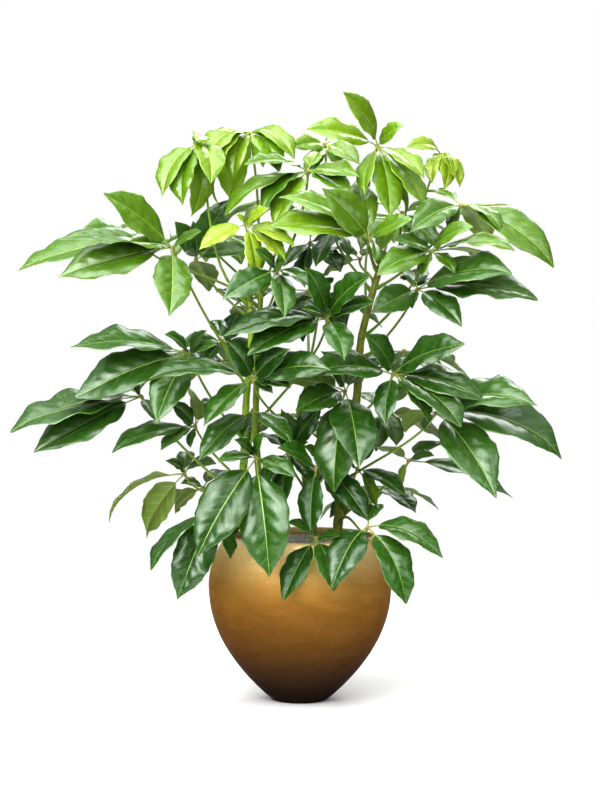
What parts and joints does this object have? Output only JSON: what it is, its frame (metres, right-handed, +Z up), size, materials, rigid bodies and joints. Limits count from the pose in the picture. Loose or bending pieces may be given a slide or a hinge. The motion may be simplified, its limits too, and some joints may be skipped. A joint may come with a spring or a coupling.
{
  "type": "potted umbrella plant",
  "caption": "Tall bushy houseplant with drooping whorls of pointed oval leaflets on upright stems, standing in soil in a round planter that tapers to a narrow foot",
  "frame": {"origin": "centre of the flat underside of the pot's foot, on the pot's axis", "axes": "+Z up along the pot's axis and the plant's height; +X to the right and -Y towards the viewer of the plant's best side"},
  "size_m": [1.3628, 0.9107, 1.5182],
  "materials": {
    "pot": "satin bronze-gold leafed coating, darkening to near-black brown at the foot",
    "soil": "dark crumbly potting mix",
    "granulate": "pale grey-white mineral grains",
    "stem_green": "smooth young green stem",
    "stem_bark": "olive green stem with brown leaf scars",
    "leaf_new": "new lime-green leaf, waxy",
    "leaf_mid": "mid-green waxy leaf",
    "leaf_dark": "dark green glossy leaf with paler ribs",
    "leaf_olive": "leaf seen mostly from its dull olive underside"
  },
  "bodies": {
    "root": {"pot": "pot", "soil": "soil", "granulate": "granulate", "stem_left_front": "stem_green", "stem_left_back": "stem_green", "stem_right": "stem_bark", "stem_middle": "stem_bark", "leaf_crown_left": "leaf_new", "leaf_crown_far_left": "leaf_new", "leaf_newest_left": "leaf_new", "leaf_crown_middle": "leaf_new", "leaf_crown_right": "leaf_new", "leaf_newest_right": "leaf_new", "leaf_upper_far_right": "leaf_mid", "leaf_upper_right": "leaf_mid", "leaf_upper_middle": "leaf_mid", "leaf_upper_front": "leaf_mid", "leaf_upper_centre": "leaf_mid", "leaf_left_big": "leaf_mid", "leaf_left_low_tip": "leaf_mid", "leaf_left_behind": "leaf_dark", "leaf_behind_left_stem": "leaf_dark", "leaf_left_middle": "leaf_dark", "leaf_left_reach": "leaf_dark", "leaf_left_inner": "leaf_dark", "leaf_left_underside": "leaf_olive", "leaf_left_underside_low": "leaf_olive", "leaf_front_left_small": "leaf_dark", "leaf_front_middle_left": "leaf_dark", "leaf_front_middle": "leaf_dark", "leaf_front_pair": "leaf_dark", "leaf_front_right_small": "leaf_dark", "leaf_front_right_broad": "leaf_dark", "leaf_front_low_left": "leaf_dark", "leaf_front_low_middle": "leaf_dark", "leaf_right_upper": "leaf_dark", "leaf_right_middle": "leaf_dark", "leaf_right_reach": "leaf_dark", "leaf_right_low": "leaf_dark", "leaf_right_behind": "leaf_olive", "leaf_rim_right": "leaf_dark", "leaf_rim_middle": "leaf_dark", "leaf_rim_left": "leaf_dark", "leaf_rim_left_small": "leaf_dark", "leaf_centre_small": "leaf_mid", "leaf_centre_underside": "leaf_olive", "leaf_low_between_stems": "leaf_dark", "leaf_inner_upper": "leaf_dark", "leaf_inner_right": "leaf_mid", "leaf_inner_left": "leaf_dark", "leaf_inner_middle": "leaf_dark", "leaf_back_top": "leaf_mid", "leaf_back_upper_right": "leaf_mid", "leaf_back_upper_left": "leaf_mid", "leaf_back_middle": "leaf_dark", "leaf_back_right": "leaf_dark", "leaf_back_left": "leaf_dark", "leaf_back_low_middle": "leaf_dark", "leaf_back_low_right": "leaf_dark"}
  },
  "joints": []
}
